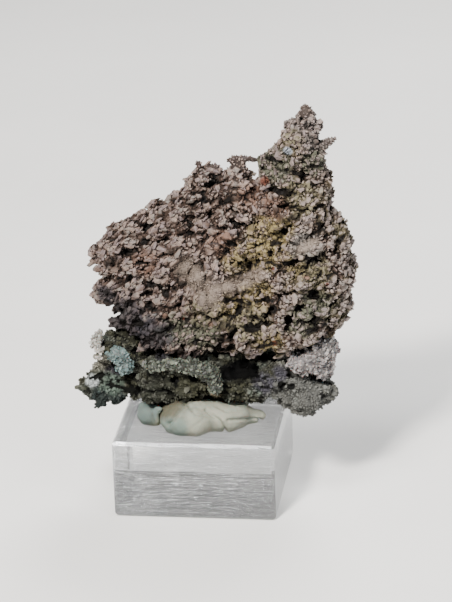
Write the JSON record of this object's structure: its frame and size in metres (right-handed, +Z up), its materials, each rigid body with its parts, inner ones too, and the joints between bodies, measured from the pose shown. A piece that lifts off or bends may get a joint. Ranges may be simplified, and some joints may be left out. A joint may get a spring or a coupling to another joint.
{
  "type": "native silver mineral specimen",
  "caption": "Tarnished, lumpy growth of native silver on dark host rock with pale minerals, held by putty on a clear acrylic block for display.",
  "frame": {"origin": "centre of the display block's underside, where it stands on a shelf", "axes": "+Z up, +X along the specimen's width to its peak's side, -Y towards its display front"},
  "size_m": [0.0535, 0.03, 0.0761],
  "materials": {
    "clear_acrylic": "polished, clear, finely scratched",
    "pale_putty": "matte, waxy, pressed and creased",
    "blue_green_putty": "matte, waxy",
    "dark_host_rock": "rough, granular, dark grey-green",
    "pink_white_calcite": "rough, pale, faintly pink",
    "cream_calcite": "rough, cream",
    "blue_green_mineral": "matte crust, blue-green",
    "pale_green_mineral": "matte, pale grey-green",
    "tarnished_silver": "tarnished pinkish brown to grey and gold, satin, granular"
  },
  "bodies": {
    "root": {"display_block": "clear_acrylic", "front_putty_wad": "pale_putty", "left_putty_wad": "blue_green_putty", "host_rock": "dark_host_rock", "pink_calcite": "pink_white_calcite", "cream_calcite_knobs": "cream_calcite", "blue_green_crust": "blue_green_mineral", "pale_green_seam": "pale_green_mineral", "native_silver": "tarnished_silver"}
  },
  "joints": []
}
